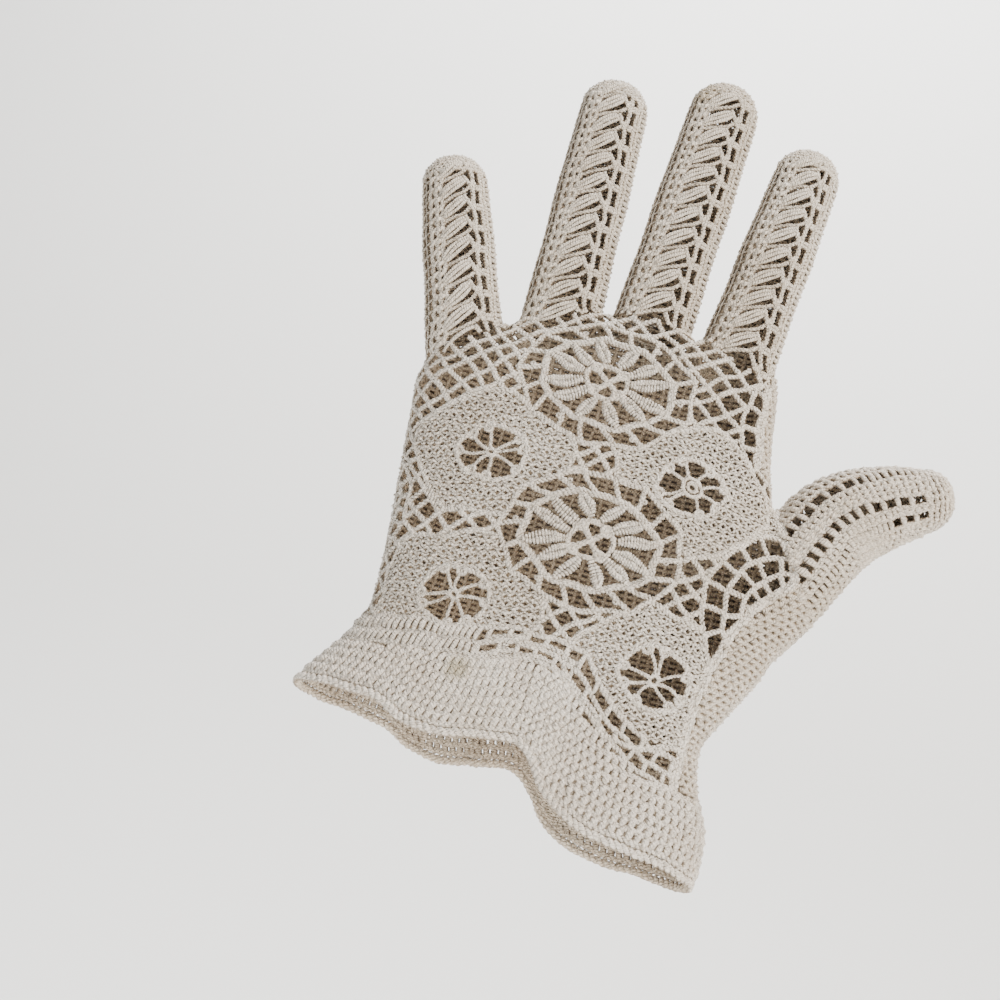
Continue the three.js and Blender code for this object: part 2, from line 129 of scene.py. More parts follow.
def columns(*values):
    """Values side by side, as rows of points."""
    return np.stack(np.broadcast_arrays(*values), -1)


def eased(rows):
    """Each row drawn toward its neighbours, except the ends."""
    return np.concatenate([rows[:1], (rows[:-2] + 2 * rows[1:-1] + rows[2:]) / 4, rows[-1:]])


def lengths_along(points):
    """How far each point lies along a line."""
    return np.concatenate([[0], np.cumsum(np.linalg.norm(np.diff(points, axis=0), axis=1))])


def at_lengths(place, lengths, points):
    """Points of a line at places given as lengths along it."""
    return np.stack([np.interp(place, lengths, column) for column in points.T], 1)


CUFF_LINE, HEM_LINE = (smooth_line(seam, 12 * len(seam)) for seam in (CUFF_SEAM, HEM))
CUFF_SLOPE = np.gradient(CUFF_LINE[:, 1], CUFF_LINE[:, 0])
STEEPEST = 1.8


def cuff_height(x, over=0.0):
    """Height of the cuff seam, or of a line at a distance over it."""
    steep = np.hypot(1, np.interp(x, CUFF_LINE[:, 0], CUFF_SLOPE))
    return np.interp(x, *CUFF_LINE.T) + over * np.minimum(steep, STEEPEST)


def hem_height(x):
    return np.interp(x, *HEM_LINE.T)


def line_at_height(chart, u, w, height, rounds):
    """Chart places that lie at the height which a function of x asks for, found in rounds from w."""
    w = np.full(len(u), w)
    for _ in range(rounds):
        centre, _ = chart.at(u, w)
        w = height(centre[:, 0])
    return columns(u, w)


def squared_circle(sides, exponent):
    """Points round a section that is a little squarer than an ellipse."""
    turn = np.linspace(0, 2 * np.pi, sides, endpoint=False)
    round_points = columns(np.cos(turn), np.sin(turn))
    return np.sign(round_points) * np.abs(round_points) ** (2 / exponent)


def lofted(centres, across, breadth, back, palm, exponent, sides=48):
    """A closed tube through sections, as points and faces. across is each section's side direction."""
    section = squared_circle(sides, exponent)
    points = centres[:, None, :] + across[:, None, :] * (breadth[:, None] * section[:, 0])[..., None]
    points[..., 1] += np.where(section[:, 1] < 0, back[:, None], palm[:, None]) * section[:, 1]
    rows = len(centres)
    faces = [[r * sides + s, r * sides + (s + 1) % sides, (r + 1) * sides + (s + 1) % sides,
              (r + 1) * sides + s] for r in range(rows - 1) for s in range(sides)]
    faces.append(list(range(sides))[::-1])
    faces.append([(rows - 1) * sides + s for s in range(sides)])
    return points.reshape(-1, 3), faces


def hand_loft():
    cuff_sizes = (CUFF_DROP, CUFF_BREADTH, CUFF_BREADTH, CUFF_BACK_DEPTH, CUFF_PALM_DEPTH)
    hand_sizes = (HAND_LENGTH, HAND_BREADTH, HAND_BREADTH, BACK_DEPTH, PALM_DEPTH)
    table = np.vstack([np.array(CUFF_SECTIONS) * cuff_sizes, np.array(HAND_SECTIONS) * hand_sizes])
    z = np.linspace(-42, HAND_LENGTH, 100)
    little, thumb, back, palm = (np.interp(z, table[:, 0], table[:, k]) for k in (1, 2, 3, 4))
    centres = columns((little + thumb) / 2, 0.0, z)
    across = np.tile([1.0, 0, 0], (len(z), 1))
    return lofted(centres, across, (thumb - little) / 2, back, palm, 2.5, 64)


def finger_axis(finger):
    _, _, across, up, lean, _, _ = finger
    lean = math.radians(lean)
    root = np.array([across * HAND_BREADTH, 0, up * HAND_LENGTH])
    axis = np.array([math.sin(lean), 0, math.cos(lean)])
    return root, axis, np.array([axis[2], 0, -axis[0]])


JOINT_SWELL = 0.025


def finger_loft(finger):
    _, length, _, _, _, root_share, tip_share = finger
    root, axis, side = finger_axis(finger)
    tip_round = FINGER_BREADTH * tip_share * 0.55
    turn = np.concatenate([np.zeros(24), np.linspace(0, math.radians(86), 10)])
    shaft = np.concatenate([np.linspace(-0.12 * HAND_LENGTH, length - tip_round, 24),
                            np.full(10, length - tip_round)])
    reach = shaft + tip_round * np.sin(turn)
    share = np.clip(reach / length, 0, 1)
    swell = 1 + JOINT_SWELL * np.exp(-((share - 0.52) / 0.09) ** 2) \
        - JOINT_SWELL * np.exp(-((share - 0.3) / 0.1) ** 2)
    taper = (root_share + (tip_share - root_share) * share) * np.cos(turn) * swell
    centres = root + axis * reach[:, None]
    centres[:, 1] += FINGER_CURL * share ** 2
    half, thick = FINGER_BREADTH * taper / 2, FINGER_DEPTH * taper / 2
    return lofted(centres, np.tile(side, (len(reach), 1)), half, thick, thick, 2.2, 40)


def thumb_line(count):
    """The thumb's middle line with its breadth and depth at each point."""
    rows = [((THUMB_ROOT[0] + a) * THUMB_LENGTH, p * THUMB_DEPTH, (THUMB_ROOT[1] + u) * THUMB_LENGTH,
             b * THUMB_BREADTH, d * THUMB_DEPTH) for a, u, b, d, p in THUMB_SECTIONS]
    line = smooth_line(rows, count)
    axis = np.gradient(line[:, :3], axis=0)
    axis[:, 1] = 0
    axis /= np.linalg.norm(axis, axis=1)[:, None]
    return line[:, :3], line[:, 3], line[:, 4], axis


THUMB_FLATTENED = 1.0


def thumb_loft():
    line, breadth, depth, axis = thumb_line(30)
    tip_round = breadth[-1] * 0.42
    turn = np.linspace(0, math.radians(84), 9)[1:]
    centres = np.vstack([line, line[-1] + axis[-1] * (tip_round * np.sin(turn))[:, None]])
    closing = np.concatenate([np.ones(30), np.cos(turn) ** 0.7])
    half = np.concatenate([breadth, np.full(8, breadth[-1])]) / 2 * closing
    thick = np.concatenate([depth, np.full(8, depth[-1])]) / 2 * closing
    axes = np.vstack([axis, np.tile(axis[-1], (8, 1))])
    side = columns(axes[:, 2], 0.0, -axes[:, 0])
    flatter = THUMB_FLATTENED * np.clip((np.arange(len(half)) / len(half) - 0.35) / 0.4, 0, 1)
    centres = centres + side * flatter[:, None]
    return lofted(centres, side, half - flatter * closing, thick, thick, 2.3, 40)


VOXEL = 0.9


def smooth_form():
    """All tubes joined to one smooth closed form, as a tree for rays. The form itself goes."""
    points, faces = [], []
    for form_points, form_faces in [hand_loft(), thumb_loft()] + [finger_loft(f) for f in FINGERS]:
        start = sum(len(p) for p in points)
        points.append(form_points)
        faces += [[start + i for i in face] for face in form_faces]
    mesh = bpy.data.meshes.new("form")
    mesh.from_pydata((np.vstack(points) * MM).tolist(), [], faces)
    form = add_object("form", mesh)
    remesh = form.modifiers.new("join", "REMESH")
    remesh.mode = "VOXEL"
    remesh.voxel_size = VOXEL * MM
    ease = form.modifiers.new("ease", "SMOOTH")
    ease.factor = 0.5
    ease.iterations = 8
    tree = BVHTree.FromObject(form, bpy.context.evaluated_depsgraph_get())
    bpy.data.objects.remove(form)
    return tree


FORM = smooth_form()


# Charts: flat coordinates in millimetres, round the form and along it

CHART_STEP = 0.7


class Chart:
    """u runs round the form from a starting line, w along it. rays: each row's origin, side and front
    direction, and how far its rays lean and toward what. shared: u is stretched so that each row closes
    at the same count of stitches, otherwise it keeps its true length."""

    def __init__(self, rows, rays, shared, reach, farthest=200):
        turns = np.linspace(0, 2 * np.pi, 160, endpoint=False)
        loops = []
        for origin, side, front, lift in rays:
            rays = np.cos(turns)[:, None] * front + np.sin(turns)[:, None] * side
            rays = rays * math.cos(lift[0]) + lift[1] * math.sin(lift[0])
            loops.append([self.hit(origin, ray, farthest) for ray in rays])
        self.w0, self.dw = rows[0], rows[1] - rows[0]
        grid = np.linspace(-reach, reach, int(round(2 * reach / CHART_STEP)) + 1)
        self.du = grid[1] - grid[0]
        self.u0 = -reach
        self.closed = shared
        table = []
        for loop in eased(np.array(loops)):
            closed = np.vstack([loop, loop[:1]])
            lengths = lengths_along(closed)
            whole = lengths[-1]
            place = (grid / (2 * reach) * whole if shared else grid) % whole
            table.append(at_lengths(place, lengths, closed))
        self.table = np.array(table)
        across = np.gradient(self.table, axis=1)
        if shared:
            across[:, 0] = across[:, -1] = self.table[:, 1] - self.table[:, -2]
        along = np.gradient(self.table, axis=0)
        self.normal = unit(np.cross(across, along))

    @staticmethod
    def hit(origin, ray, farthest):
        place, _, _, _ = FORM.ray_cast(Vector(origin) * MM, Vector(ray), farthest * MM)
        return np.array(place) / MM if place is not None else np.array(origin) + ray * min(farthest, 40)

    def at(self, u, w):
        """Points of the form and its outward directions at chart places."""
        x = (np.asarray(u) - self.u0) / self.du
        last = self.table.shape[1] - 1
        x = x % last if self.closed else np.clip(x, 0, last - 0.001)
        y = np.clip((np.asarray(w) - self.w0) / self.dw, 0, self.table.shape[0] - 1.001)
        i, j = x.astype(int), y.astype(int)
        fx, fy = (x - i)[..., None], (y - j)[..., None]

        def mixed(values):
            low = values[j, i] * (1 - fx) + values[j, i + 1] * fx
            high = values[j + 1, i] * (1 - fx) + values[j + 1, i + 1] * fx
            return low * (1 - fy) + high * fy

        return mixed(self.table), unit(mixed(self.normal))


NO_LIFT = (0.0, np.zeros(3))
X_AXIS, Y_AXIS = np.eye(3)[:2]


def body_chart(low, high, front, shared, reach):
    rows = np.arange(low, high + 0.5, 1.0)
    side = X_AXIS if front[1] < 0 else -X_AXIS
    return Chart(rows, [(np.array([0.0, 0, z]), side, front, NO_LIFT) for z in rows], shared, reach)


MOST_LIFT = 1.5
FINGER_CAP, THUMB_CAP = 8.2, 7.0
# Half the way round, in chart millimetres
FINGER_ROUND, THUMB_ROUND, CUFF_ROUND = 28, 34, 92


def tip_lift(w, dome, size, axis):
    """How far the rays lean toward the tip, which shuts the chart over a round end of a size."""
    return min(max(w - dome, 0) / size, MOST_LIFT), axis


def finger_chart(finger):
    _, length, _, _, _, _, tip_share = finger
    root, axis, side = finger_axis(finger)
    dome = length - FINGER_BREADTH * tip_share * 0.5
    rows = np.arange(-20.0, length + 4.5, 1.0)
    rays = []
    for w in rows:
        shaft = min(w, dome)
        share = max(shaft / length, 0)
        origin = root + axis * shaft + Y_AXIS * FINGER_CURL * share ** 2
        rays.append((origin, side, -Y_AXIS, tip_lift(w, dome, FINGER_CAP, axis)))
    return Chart(rows, rays, True, FINGER_ROUND, FINGER_BREADTH * 0.68)


def thumb_chart():
    line, _, _, axis = thumb_line(200)
    travelled = lengths_along(line)
    dome = travelled[-1] - 1
    rows = np.arange(0.0, travelled[-1] + 12, 1.0)
    rays = []
    for w in rows:
        shaft = min(w, dome)
        way = at_lengths([shaft], travelled, axis)[0]
        way /= np.linalg.norm(way)
        origin = at_lengths([shaft], travelled, line)[0]
        rays.append((origin, np.array([way[2], 0, -way[0]]), -Y_AXIS, tip_lift(w, dome, THUMB_CAP, way)))
    return Chart(rows, rays, True, THUMB_ROUND, 15.5), travelled[-1]


BACK_CHART = body_chart(-34, 97, -Y_AXIS, False, 78)
PALM_REACH = 98
PALM_CHART = body_chart(-34, 97, Y_AXIS, False, PALM_REACH)
CUFF_CHART = body_chart(-36, 14, -Y_AXIS, True, CUFF_ROUND)


# Where each piece ends: tests on points in millimetres

SEAM_OVERLAP = 1.5
WEB_OVERLAP = 0.8
OUTER_LEAN = 38


def below_fingers(p, over=0.0):
    return p[..., 2] < np.interp(p[..., 0], *FINGER_SEAM.T) + over


def beside_thumb(p, over=0.0):
    line = np.interp(-p[..., 2], -THUMB_SEAM[:, 1], THUMB_SEAM[:, 0]) + over
    return (p[..., 0] < line) | (p[..., 2] < THUMB_SEAM[-1, 1])


def above_cuff(p):
    return p[..., 2] > cuff_height(p[..., 0])


def on_back(p):
    return (p[..., 1] < 0) & (p[..., 0] < np.interp(p[..., 2], *LACE_SEAM.T[::-1]))


def in_back(p):
    return below_fingers(p) & beside_thumb(p) & above_cuff(p) & on_back(p)


def in_palm(p):
    return below_fingers(p, SEAM_OVERLAP) & beside_thumb(p, SEAM_OVERLAP) & above_cuff(p) & ~on_back(p)


def in_thumb(p):
    return ~beside_thumb(p, -SEAM_OVERLAP) & below_fingers(p)


def in_cuff(p):
    return ~above_cuff(p) & (p[..., 2] > hem_height(p[..., 0]) - 0.6)


def in_finger(index):
    left, right = FINGER_SEAM[index], FINGER_SEAM[index + 1]
    leans = [-OUTER_LEAN] + [f[4] for f in FINGERS] + [OUTER_LEAN]
    tilts = [math.tan(math.radians((leans[k] + leans[k + 1]) / 2)) for k in (index, index + 1)]

    def test(p):
        x, z = p[..., 0], p[..., 2]
        start = np.where(p[..., 1] > 0, -SEAM_OVERLAP, 0.0)
        return (~below_fingers(p, start) & (x > left[0] + tilts[0] * (z - left[1]) - WEB_OVERLAP)
                & (x < right[0] + tilts[1] * (z - right[1]) + WEB_OVERLAP))
    return test


# Threads: every stitch is a round thread laid along a line of the chart

def drift(u, w):
    """How far uneven work shifts a stitch, in chart millimetres."""
    across = np.sin(w / 1.35 + 0.9 * np.sin(u / 2.9)) + np.sin(u / 2.3 - w / 3.1 + 1.3)
    along = np.sin(u / 1.5 + 1.1 * np.sin(w / 2.7)) + np.sin(w / 2.1 + u / 3.7 + 0.4)
    return np.stack([across, along], -1)


def unevenness(u, w):
    """Thick and thin places along a thread, about 0 and within 1."""
    return 0.5 * np.sin(2.3 * u + 1.4 * np.sin(1.9 * w)) + 0.5 * np.sin(2.6 * w - 1.2 * u)


def stretches(kept):
    """Start and end of each stretch of three or more points that are kept."""
    edges = np.flatnonzero(np.diff(np.concatenate([[0], kept.astype(int), [0]])))
    return [(a, b) for a, b in zip(edges[::2], edges[1::2]) if b - a >= 3]


TWIST_SHIFT = 0.37


class Fabric:
    """Threads of one piece, gathered and made one mesh at the end."""

    def __init__(self, name, chart, inside, stray=0.12, swell=0.14):
        self.name, self.chart, self.inside = name, chart, inside
        self.stray, self.swell = stray, swell
        self.points, self.quads, self.caps, self.maps, self.outward = [], [], [], [], []
        self.count = 0

    def lay(self, places, rise, radius, sides=5, clip=True):
        """Threads as arrays: places (thread, point, uv), with height over the form and radius of each."""
        places = np.asarray(places, float)
        rise = np.broadcast_to(rise, places.shape[:2])
        radius = np.broadcast_to(radius, places.shape[:2])
        uneven = unevenness(places[..., 0], places[..., 1])
        rise = rise + 0.12 * uneven
        radius = radius * (1 + self.swell * uneven)
        moved = places + self.stray * drift(places[..., 0], places[..., 1])
        centre, normal = self.chart.at(moved[..., 0], moved[..., 1])
        if clip:
            kept = self.inside(centre[:, places.shape[1] // 2])
            if not kept.any():
                return
            centre, normal, rise, radius = centre[kept], normal[kept], rise[kept], radius[kept]
        centre = centre + normal * rise[..., None]
        along = unit(np.gradient(centre, axis=1))
        side = unit(np.cross(normal, along))
        up = np.cross(along, side)
        turn = 2 * np.pi * np.arange(sides) / sides
        ring = (np.cos(turn)[:, None] * side[:, :, None, :] + np.sin(turn)[:, None] * up[:, :, None, :])
        points = centre[:, :, None, :] + radius[:, :, None, None] * ring
        threads, steps = centre.shape[:2]
        index = self.count + np.arange(threads * steps * sides).reshape(threads, steps, sides)
        nxt = np.roll(index, -1, axis=2)
        quads = np.stack([index[:, :-1], nxt[:, :-1], nxt[:, 1:], index[:, 1:]], -1).reshape(-1, 4)
        # The twist starts elsewhere on each thread
        length = np.cumsum(np.linalg.norm(np.diff(centre, axis=1), axis=2), axis=1)
        length = np.pad(length, ((0, 0), (1, 0))) + np.arange(threads)[:, None] * TWIST_SHIFT
        u0 = np.broadcast_to(length[:, :-1, None], index[:, :-1].shape)
        u1 = np.broadcast_to(length[:, 1:, None], u0.shape)
        v0 = np.broadcast_to(np.arange(sides) / sides, u0.shape)
        v1 = v0 + 1 / sides
        corners = ((u0, v0), (u0, v1), (u1, v1), (u1, v0))
        maps = np.stack([np.stack(corner, -1) for corner in corners], -2).reshape(-1, 4, 2)
        fan = np.arange(1, sides - 1)
        caps = np.concatenate([
            np.stack([np.repeat(end[:, :1], len(fan), 1), end[:, fan + a], end[:, fan + b]], -1)
            .reshape(-1, 3) for end, a, b in ((index[:, 0], 1, 0), (index[:, -1], 0, 1))])
        self.points.append(points.reshape(-1, 3))
        # How far each point faces out of the fabric, by which the finish paints shade on the flanks where
        # threads meet
        outward = 0.5 + 0.25 * rise[..., None] + 0.42 * np.sin(turn)
        self.outward.append(np.clip(np.broadcast_to(outward, points.shape[:3]), 0, 1).reshape(-1))
        self.quads.append(quads)
        self.maps.append(maps)
        self.caps.append(caps)
        self.count += threads * steps * sides

    def runs(self, path, step):
        """A line cut where it leaves the piece, as evenly stepped parts."""
        path = np.asarray(path, float)
        lengths = lengths_along(path)
        count = max(int(round(lengths[-1] / step)) + 1, 4)
        place = np.linspace(0, lengths[-1], count)
        even = at_lengths(place, lengths, path)
        centre, _ = self.chart.at(even[:, 0], even[:, 1])
        return [(even[a:b], place[a:b]) for a, b in stretches(self.inside(centre))]

    def thread(self, path, radius, step=1.0, sides=5):
        """One plain thread along a line."""
        for places, _ in self.runs(path, step):
            self.lay(places[None], 0.0, radius, sides, clip=False)

    def chain(self, path, radius, spread, rise=0.0, pitch=2.1, step=0.42, sides=5, flat=0.6):
        """A chain of crochet: two threads that turn about each other."""
        for places, along in self.runs(path, step):
            way = unit(np.gradient(places, axis=0))
            beside = columns(-way[:, 1], way[:, 0])
            phase = 2 * np.pi * along / pitch
            for half in (0, np.pi):
                offset = beside * (spread * np.cos(phase + half))[:, None]
                lift = rise + spread * flat * np.sin(phase + half)
                self.lay((places + offset)[None], lift, radius, sides, clip=False)

    def posts(self, starts, ends, radius, rise=0.0, bow=0.15, steps=3, sides=5):
        """Short upright stitches between two lines."""
        starts, ends = np.asarray(starts, float), np.asarray(ends, float)
        t = np.linspace(0, 1, steps)
        places = starts[:, None] * (1 - t)[None, :, None] + ends[:, None] * t[None, :, None]
        thick = radius * (1 - 0.25 * np.abs(2 * t - 1))
        self.lay(places, rise + bow * np.sin(np.pi * t), thick, sides)

    def piece(self, slot, node):
        """The mesh object of all threads laid so far, in the place of the solid named."""
        points = np.vstack(self.points) * MM
        quads, caps = np.vstack(self.quads), np.vstack(self.caps)
        mesh = bpy.data.meshes.new(self.name)
        mesh.vertices.add(len(points))
        mesh.vertices.foreach_set("co", points.ravel())
        corners = np.concatenate([quads.ravel(), caps.ravel()])
        mesh.loops.add(len(corners))
        mesh.loops.foreach_set("vertex_index", corners)
        totals = np.concatenate([np.full(len(quads), 4), np.full(len(caps), 3)])
        mesh.polygons.add(len(totals))
        mesh.polygons.foreach_set("loop_start", np.concatenate([[0], np.cumsum(totals)[:-1]]))
        mesh.polygons.foreach_set("loop_total", totals)
        mesh.polygons.foreach_set("use_smooth", np.ones(len(totals), bool))
        mesh.update(calc_edges=True)
        layer = mesh.uv_layers.new(name="thread")
        flat = np.concatenate([np.vstack(self.maps).reshape(-1, 2), np.zeros((len(caps) * 3, 2))])
        layer.data.foreach_set("uv", flat.ravel())
        side = mesh.attributes.new("outward", "FLOAT", "POINT")
        side.data.foreach_set("value", np.concatenate(self.outward).astype(np.float32))
        mesh.materials.append(FINISHES[slot])
        thing = add_object(self.name, mesh)
        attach(thing, "root")
        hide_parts(node)


def lattice(fabric, lines, gap, radius, line_radius, pair=False, lean=0.0, **kept):
    """Plain fabric: lines side by side, joined by upright stitches a gap apart. Of two lines only the
    first is laid, because the next strip lays the other. pair: the lines are chains."""
    for line in lines[:1] if len(lines) == 2 else lines:
        if pair:
            fabric.chain(line, line_radius, line_radius * 0.8, step=0.48)
        else:
            fabric.thread(line, line_radius, sides=kept.get("sides", 5))
    for low, high in zip(lines[:-1], lines[1:]):
        lengths = lengths_along(low)
        place = np.arange(gap / 2, lengths[-1], gap)
        ahead = np.clip(place + lean, 0, lengths[-1])
        fabric.posts(at_lengths(place, lengths, low), at_lengths(ahead, lengths, high), radius, **kept)


# Cotton finishes

def linear(code):
    """A colour given as sRGB hex, as linear values."""
    parts = [int(code[k:k + 2], 16) / 255 for k in (1, 3, 5)]
    return tuple(c / 12.92 if c <= 0.04045 else ((c + 0.055) / 1.055) ** 2.4 for c in parts) + (1.0,)


def add_node(tree, kind, inputs=None, **settings):
    """A node with its settings. An input that is given a socket is linked to it, any other is set."""
    made = tree.nodes.new(kind)
    for name, value in settings.items():
        setattr(made, name, value)
    for name, value in (inputs or {}).items():
        if isinstance(value, bpy.types.NodeSocket):
            tree.links.new(value, made.inputs[name])
        else:
            made.inputs[name].default_value = value
    return made


def empty_material(name):
    material = bpy.data.materials.new(name)
    material.use_nodes = True
    material.node_tree.nodes.clear()
    return material, material.node_tree


# Mercerised cotton crochet thread, two plies, aged to ecru: dull with a soft sheen at the rims. Plies
# are 0.65 mm apart, drawn coarser than the real 0.3 mm so that they show. Stitches heap up every 0.9 mm,
# with grey dust and painted shade for the hollows between them in random 0.75 mm grains, and fibres are
# 0.12 mm.
PLY = 0.65
PLIES = 2
FIBRE = 0.12
BLOTCH = 26.0
STITCH = 0.9
HOLLOW = 0.75
# Painted shade by how far a point stands out of the fabric: inner face, hollows between threads, outer
# face
PAINTED_SHADES = [(0.0, "#fbf4ea"), (0.22, "#eae0d4"), (0.45, "#94887b"), (0.62, "#c6bcb0"), (0.82, "#ffffff")]


def cotton(name, light, mid, hollow_dust_and_shade, marks=()):
    """marks: centre and reach in millimetres, colour and strength of each."""
    material, tree = empty_material(name)
    place = add_node(tree, "ShaderNodeTexCoord").outputs["Object"]
    thread = add_node(tree, "ShaderNodeUVMap", uv_map="thread").outputs["UV"]

    def noise(size, detail, roughness=0.5):
        return add_node(tree, "ShaderNodeTexNoise", {
            "Scale": 1000 / size, "Detail": detail, "Roughness": roughness, "Vector": place,
        }).outputs["Fac"]

    def ranged(value, *limits):
        """A value moved from one range, given first, to another."""
        names = ("From Min", "From Max", "To Min", "To Max")
        return add_node(tree, "ShaderNodeMapRange",
                        {**dict(zip(names, limits)), "Value": value}).outputs["Result"]

    def mixed(share, a, b, **settings):
        return add_node(tree, "ShaderNodeMix", {"Factor": share, "A": a, "B": b}, data_type="RGBA",
                        **settings).outputs[2]

    def bump(height, strength, distance, **under):
        return add_node(tree, "ShaderNodeBump", {
            "Strength": strength, "Distance": distance * MM, "Height": height, **under}).outputs["Normal"]

    plain = mixed(ranged(noise(BLOTCH, 3.0, 0.6), 0.36, 0.62), linear(mid), linear(light))
    # Grey dust and painted shade for the hollows between stitches, in random grains
    dust_and_shade = mixed(ranged(noise(HOLLOW, 2.0), 0.46, 0.64, 0.0, 0.5), plain, linear(hollow_dust_and_shade))
    # Painted shade on the flanks of each thread, where threads meet, by the outward attribute
    outward = add_node(tree, "ShaderNodeAttribute", attribute_name="outward").outputs["Fac"]
    depth = add_node(tree, "ShaderNodeValToRGB", {"Fac": outward})
    stops = depth.color_ramp.elements
    stops.remove(stops[1])
    stops[0].position, stops[0].color = PAINTED_SHADES[0][0], linear(PAINTED_SHADES[0][1])
    for position, code in PAINTED_SHADES[1:]:
        stops.new(position).color = linear(code)
    colour = mixed(1.0, dust_and_shade, depth.outputs["Color"], blend_type="MULTIPLY")
    for centre, reach, code, strength in marks:
        away = add_node(tree, "ShaderNodeVectorMath", {0: place, 1: [c * MM for c in centre]},
                        operation="DISTANCE").outputs["Value"]
        colour = mixed(ranged(away, reach * MM * 0.35, reach * MM, strength, 0.0), colour, linear(code))
    # The wave repeats once in 2 pi / 10 of its own length
    wave_length = 2 * math.pi / 10
    plies = add_node(tree, "ShaderNodeMapping", {"Scale": (wave_length / PLY, wave_length * PLIES, 1.0),
                                                 "Vector": thread}).outputs["Vector"]
    twist = add_node(tree, "ShaderNodeTexWave", {"Scale": 1.0, "Distortion": 0.0, "Vector": plies},
                     wave_type="BANDS", bands_direction="DIAGONAL").outputs["Fac"]
    heaped = bump(noise(STITCH, 1.0), 0.7, 0.6)
    twisted = bump(twist, 0.9, 0.3, Normal=heaped)
    fibrous = bump(noise(FIBRE * 4, 2.0), 0.35, 0.08, Normal=twisted)
    surface = add_node(tree, "ShaderNodeBsdfPrincipled", {
        "Base Color": colour, "Normal": fibrous, "Roughness": 0.86, "Sheen Weight": 0.15,
        "Sheen Roughness": 0.5, "IOR": 1.5, "Specular IOR Level": 0.25})
    add_node(tree, "ShaderNodeOutputMaterial", {"Surface": surface.outputs["BSDF"]})
    return material


FINISHES = {
    "lace_cotton": cotton("mercerised_cotton_lace", "#f3ece1", "#e6ddd0", "#a39686",
                          [((-16.5, -17.0, -2.3), 4.0, "#8f8250", 0.55),
                           ((-29.9, -15, -2.3), 2.5, "#a89a70", 0.3)]),
    "finger_cotton": cotton("mercerised_cotton_fingers", "#ede4d6", "#dfd4c4", "#9c8d7b",
                            [((-4.5, -5.0, 165.0), 7.0, "#a8925c", 0.4),
                             # A yellow-brown tint, 5 mm across, at the base of the middle finger
                             ((2.5, -4.0, 97.0), 5.0, "#a8925c", 0.25)]),
    "palm_cotton": cotton("mercerised_cotton_palm", "#eae0d2", "#dbcfbe", "#9c8d7b"),
    "cuff_cotton": cotton("mercerised_cotton_cuff", "#f4ede2", "#e6dccf", "#a39686",
                          [((-16.5, -17.0, -2.3), 4.0, "#8f8250", 0.6)]),
}


# Lace of the back: flowers, wheels, cloth and net, in chart millimetres (u across, w up)

FLOWERS = [(-3.7, 72.8), (3.2, 33.9)]
WHEELS = [(-24.4, 48.3), (21.6, 53.2), (24.9, 8.2), (-22.4, 13.5)]
# Centre and reach of each fan
FANS = [(48.0, 76.0, 18.8), (-54.0, 31.5, 13.5), (51.0, 30.0, 20.5)]
FAN_ARCS = (1, 0.76, 0.55, 0.38, 0.24)
FLOWER_A, FLOWER_B = 14.8, 11.6
WHEEL_RIM = 7.5
WHEEL_HUBS = (0.9, 2.1, 1.1, 0.9)
WHEEL_SHAPE = (1.07, 0.90)
CLOTH_A, CLOTH_B = 18.6, 15.2
PATCH_FROM, PATCH_LOW, PATCH_HIGH = 30, 38, 60
OUTER_RING = 1.40


def nearest(u, w, centres, across, up):
    """Distance from the nearest centre, in shares of its reach across and up."""
    return np.min([np.hypot((u - a) / across, (w - b) / up) for a, b in centres], axis=0)


def nearest_flower(u, w):
    return nearest(u, w, FLOWERS, FLOWER_A, FLOWER_B)


def lobe_wave(turn, centre):
    """How far the outline of a lobe waves in, as a factor."""
    return 1 + 0.07 * np.cos(5 * turn + centre)


def lobe_norm(u, w):
    """Under 1 inside the lobes of cloth."""
    return np.min([np.hypot((u - a) / CLOTH_A, (w - b) / CLOTH_B) * lobe_wave(np.arctan2(w - b, u - a), a)
                   for a, b in WHEELS], axis=0)


def in_fan(u, w):
    """Inside an arc of cells that opens to the side edge."""
    return np.any([np.hypot(u - a, w - b) < reach for a, b, reach in FANS], axis=0)


def is_clear(u, w):
    """Outside the flowers and the fans."""
    return (nearest_flower(u, w) > OUTER_RING) & ~in_fan(u, w)


def close_worked(u, w):
    """Inside a lobe, or in the patch that joins one to the thumb."""
    return (lobe_norm(u, w) < 1) | ((u > PATCH_FROM) & (w > PATCH_LOW) & (w < PATCH_HIGH))


def is_cloth(u, w):
    return close_worked(u, w) & (nearest(u, w, WHEELS, *WHEEL_SHAPE) > WHEEL_RIM) & is_clear(u, w)


def is_net(u, w):
    return ~close_worked(u, w) & is_clear(u, w)


def masked(path, mask):
    """The parts of a line that lie where the mask is true."""
    return [path[a:b] for a, b in stretches(mask(path[:, 0], path[:, 1]))]


def circle(centre, a, b=None, count=90):
    turn = np.radians(np.linspace(0, 360, count))
    return columns(centre[0] + a * np.cos(turn), centre[1] + (b or a) * np.sin(turn))


def toward(turn):
    return np.array([math.cos(turn), math.sin(turn)])


def crossways(way):
    return np.array([-way[1], way[0]])


def polygon(corners, count):
    """A closed line through corners, with count points on each side."""
    return np.vstack([np.linspace(a, b, count)[:-1] for a, b in zip(corners[:-1], corners[1:])]
                     + [corners[:1]])


NET_CORD = dict(radius=0.41, spread=0.40, pitch=1.9, step=0.40)


